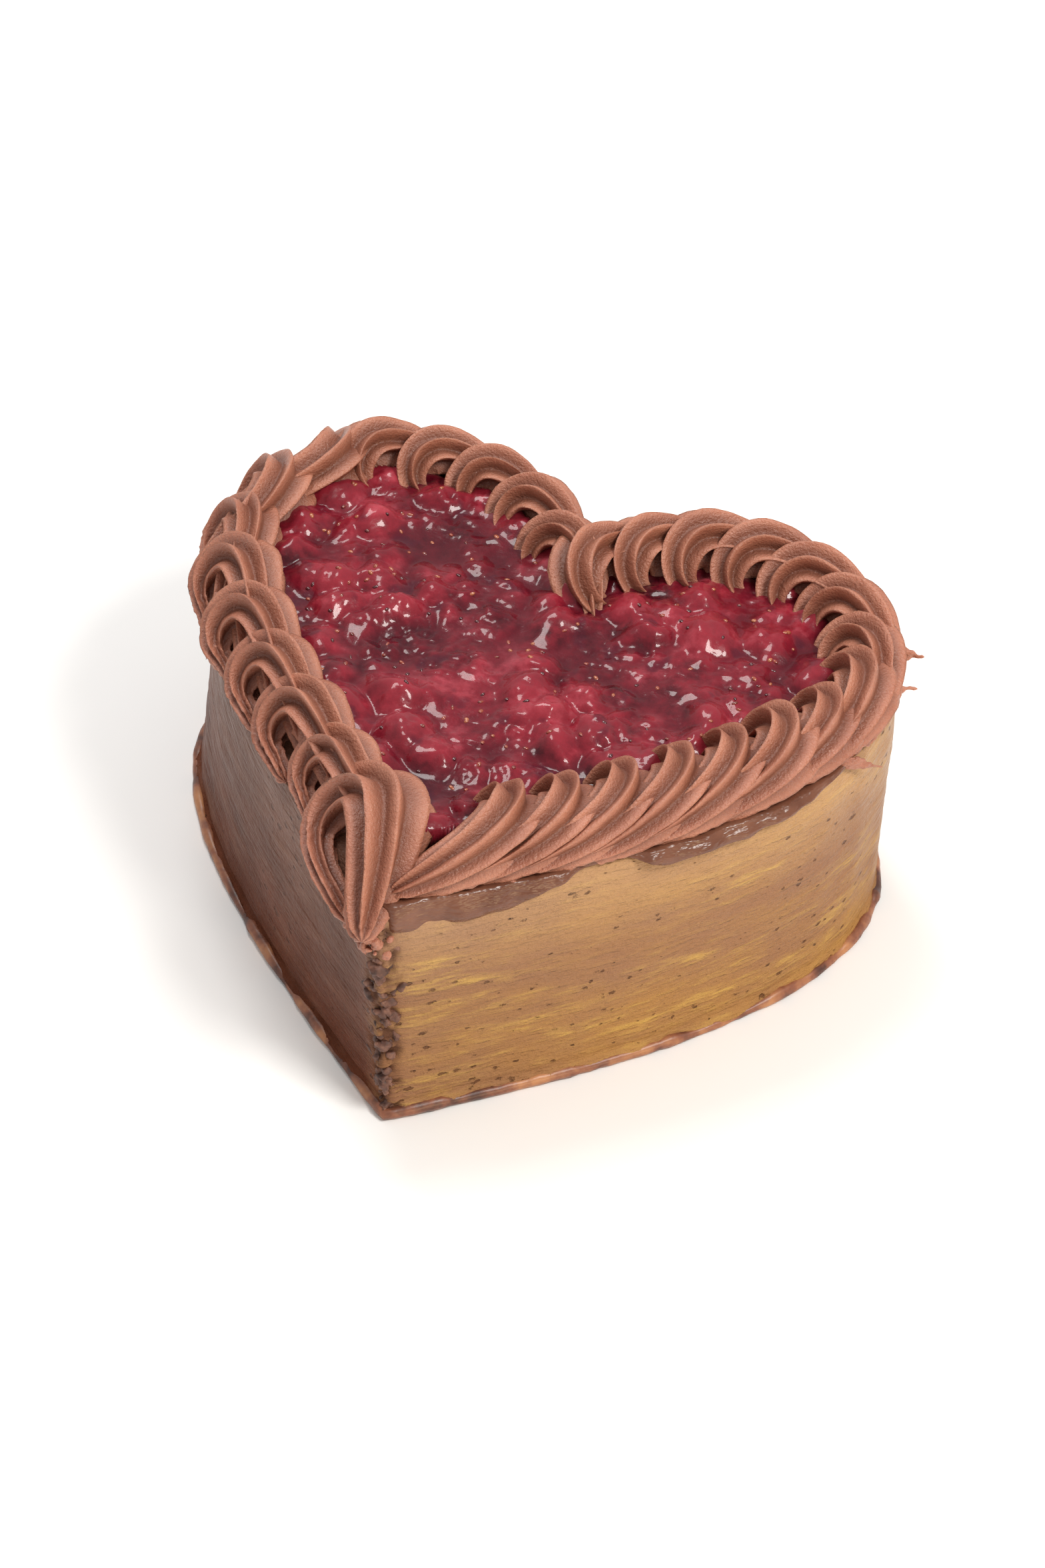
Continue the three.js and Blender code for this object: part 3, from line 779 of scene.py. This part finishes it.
def pipe(name, path, place, heading, broad):
    """Draws the star nozzle along a path and sets the finished rope on the cake."""
    bpy.ops.object.select_all(action="DESELECT")
    bpy.ops.curve.primitive_nurbs_path_add(location=(0, 0, 0))
    rope = bpy.context.object
    rope.name = name
    rope.data.splines.clear()
    way = rope.data.splines.new("POLY")
    way.points.add(len(path) - 1)
    for step, (point, (spot, width)) in enumerate(zip(way.points, path)):
        point.co = (*spot, 1)
        point.radius = width
        point.tilt = EYE_TILT + TWIST * ease((step - 28) / 40)     # from the eye to the end
    rope.data.bevel_mode = "OBJECT"
    rope.data.bevel_object = nozzle
    rope.data.use_fill_caps = True
    bpy.ops.object.convert(target="MESH")
    rope = bpy.context.object
    # how deep each vertex lies in a groove, kept to paint shade into the grooves
    depth = [abs(sin(RIDGES * pi * (i % STAR_POINTS) / STAR_POINTS))
             for i in range(len(rope.data.vertices))]
    rope.data.attributes.new("groove", "FLOAT", "POINT").data.foreach_set("value", depth)
    bpy.ops.object.mode_set(mode="EDIT")
    bpy.ops.mesh.select_all(action="SELECT")
    bpy.ops.mesh.remove_doubles(threshold=1e-6)
    bpy.ops.mesh.normals_make_consistent(inside=False)
    bpy.ops.object.mode_set(mode="OBJECT")
    x, y = place
    stand = Matrix.Translation((MIDDLE_X + x * MM, MIDDLE_Y + y * MM, TOP_Z * MM))
    rope.matrix_world = stand @ Matrix.Rotation(heading, 4, "Z") @ Matrix.Diagonal((1, broad, 1, 1))
    bpy.ops.object.transform_apply(location=True, rotation=True, scale=True)

    def uneven(i, place, normal):
        swell = 0.10 * wave(*place, 2.2, 21) + 0.32 * wave(*place, 7, 22)
        swell += 0.45 * wave(*place, 1.2, 23) * ease((75.5 - place[2]) / 4)       # torn tails
        return [swell * n for n in normal]

    reshape(rope, uneven)
    bpy.ops.object.shade_smooth()
    rope.data.materials.append(cream)
    return rope


def half_border(side):
    """The border's middle line down one side, from the cleft to the tip."""
    line = heart(BORDER_INSET, 40, TOP_SHIFT)
    half = line[:len(line) // 2 + 1][::-1] if side > 0 else line[len(line) // 2:] + line[:1]
    run = [0.0]
    for a, b in zip(half, half[1:]):
        run.append(run[-1] + hypot(b[0] - a[0], b[1] - a[1]))

    def at(s):
        return (float(np.interp(s, run, [p[0] for p in half])),
                float(np.interp(s, run, [p[1] for p in half])))
    return run[-1], at


random.seed(12)
number = 0
for side, count, first, last in SHELL_RUNS:
    length, at = half_border(side)
    onward = 1 if last < 0 else -1
    for i in range(count):
        number += 1
        s = first + ((length + last if last < 0 else last) - first) * i / (count - 1)
        t = (s - 8) / (length - 26)
        place, a, b = at(s), at(s - onward), at(s + onward)
        heading = atan2(b[1] - a[1], b[0] - a[0])
        turn, broad = random.uniform(-4, 4), 1
        if side > 0:            # on the right flank the tails swing out over the edge
            flank = ease((t - 0.5) / 0.25)
            lean = 18 + 26 * ease((t - 0.45) / 0.25) + turn
            way = shell_path(radians(lean), random.uniform(0.98, 1.06), 26 + flank,
                             tail_out=8 * flank, head_in=-1.5 * flank)
        elif last > 0:          # over the back of the left lobe
            way = shell_path(radians(18 + turn), random.uniform(0.90, 0.98), 26)
        elif i < count - 1:     # on the left flank the shells lie straight behind each other
            lean = 28 - 22 * ease((t - 0.3) / 0.25) - 16 * ease((t - 0.72) / 0.23) + turn
            way = shell_path(radians(lean), random.uniform(0.98, 1.07), 27)
        else:                   # the last and largest one is drawn out over the tip
            place, heading, broad = (-14, -80), radians(-70), 1.2
            way = shell_path(0, 1.16, 22, tail_out=-0.5, drop=-5, start=(-5, -1.8, 0), hole=1.1)
        name = "shell_%02d" % number
        rope = pipe("piped_" + name, way, place, heading, broad)
        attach(rope, "root")
        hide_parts(name)
bpy.data.objects.remove(nozzle, do_unlink=True)

# ---- Wisps and scraps of cream -----------------------------------------------
# Where the nozzle was pulled away, small spikes of cream stand out over the
# edge, and the last tail ends in torn scraps on the corner of the tip.
SCRAPS = 34
WISPS = (((84.0, 32.6, 72), (91.2, 32.5, 72.8)), ((84.5, 19.4, 71), (92.2, 23.3, 70.0)),
         ((83.5, -10.0, 71), (90.8, -3.8, 66.8)), ((21.0, -78.6, 70), (24.6, -76.9, 65.0)),
         ((-57.6, -43.4, 70), (-61.0, -43.8, 62.8)), ((-29.8, -73.0, 69.5), (-30.8, -74.3, 64.6)),
         ((-72.8, -31.0, 71.5), (-75.6, -32.2, 68.4)))
random.seed(3)
scraps = []
for start, stop in WISPS:
    start, stop = Vector(start), Vector(stop)
    bpy.ops.mesh.primitive_uv_sphere_add(segments=20, ring_count=16, radius=1)
    spike = bpy.context.object
    for vertex in spike.data.vertices:          # the far end is drawn out to a point
        slim = 0.12 + 0.88 * ease((1 - vertex.co.z) / 1.6)
        vertex.co = (vertex.co.x * slim * 2.3 * MM, vertex.co.y * slim * 1.1 * MM,
                     vertex.co.z * (stop - start).length * 0.62 * MM)
    spike.rotation_euler = (stop - start).to_track_quat("Z", "X").to_euler()
    spike.location = Vector((MIDDLE_X, MIDDLE_Y, 0)) + (start + stop) * 0.5 * MM
    scraps.append(spike)
for i in range(SCRAPS):
    bpy.ops.mesh.primitive_ico_sphere_add(subdivisions=3, radius=random.uniform(0.5, 1.35) * MM)
    scrap = bpy.context.object
    scrap.scale = (random.uniform(0.6, 1.2), random.uniform(0.6, 1.2), random.uniform(0.7, 1.4))
    sideways = random.gauss(0, 1.9)
    scrap.location = (MIDDLE_X + (-5 + sideways) * MM,
                      MIDDLE_Y + (TIP_Y - 0.6 + 0.5 * abs(sideways)) * MM,
                      (62.2 + random.gauss(0, 2.2)) * MM)
    scraps.append(scrap)
bpy.ops.object.select_all(action="DESELECT")
for scrap in scraps:
    scrap.select_set(True)
bpy.ops.object.transform_apply(location=True, rotation=True, scale=True)
bpy.ops.object.join()
torn_cream = bpy.context.object
torn_cream.name = "cream_wisps"
bpy.ops.object.mode_set(mode="EDIT")
bpy.ops.mesh.select_all(action="SELECT")
bpy.ops.mesh.subdivide(number_cuts=1)
bpy.ops.object.mode_set(mode="OBJECT")
reshape(torn_cream, lambda i, place, normal: [0.7 * wave(*place, 1.7, 61) * n for n in normal])
bpy.ops.object.shade_smooth()
torn_cream.data.materials.append(cream)
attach(torn_cream, "root")
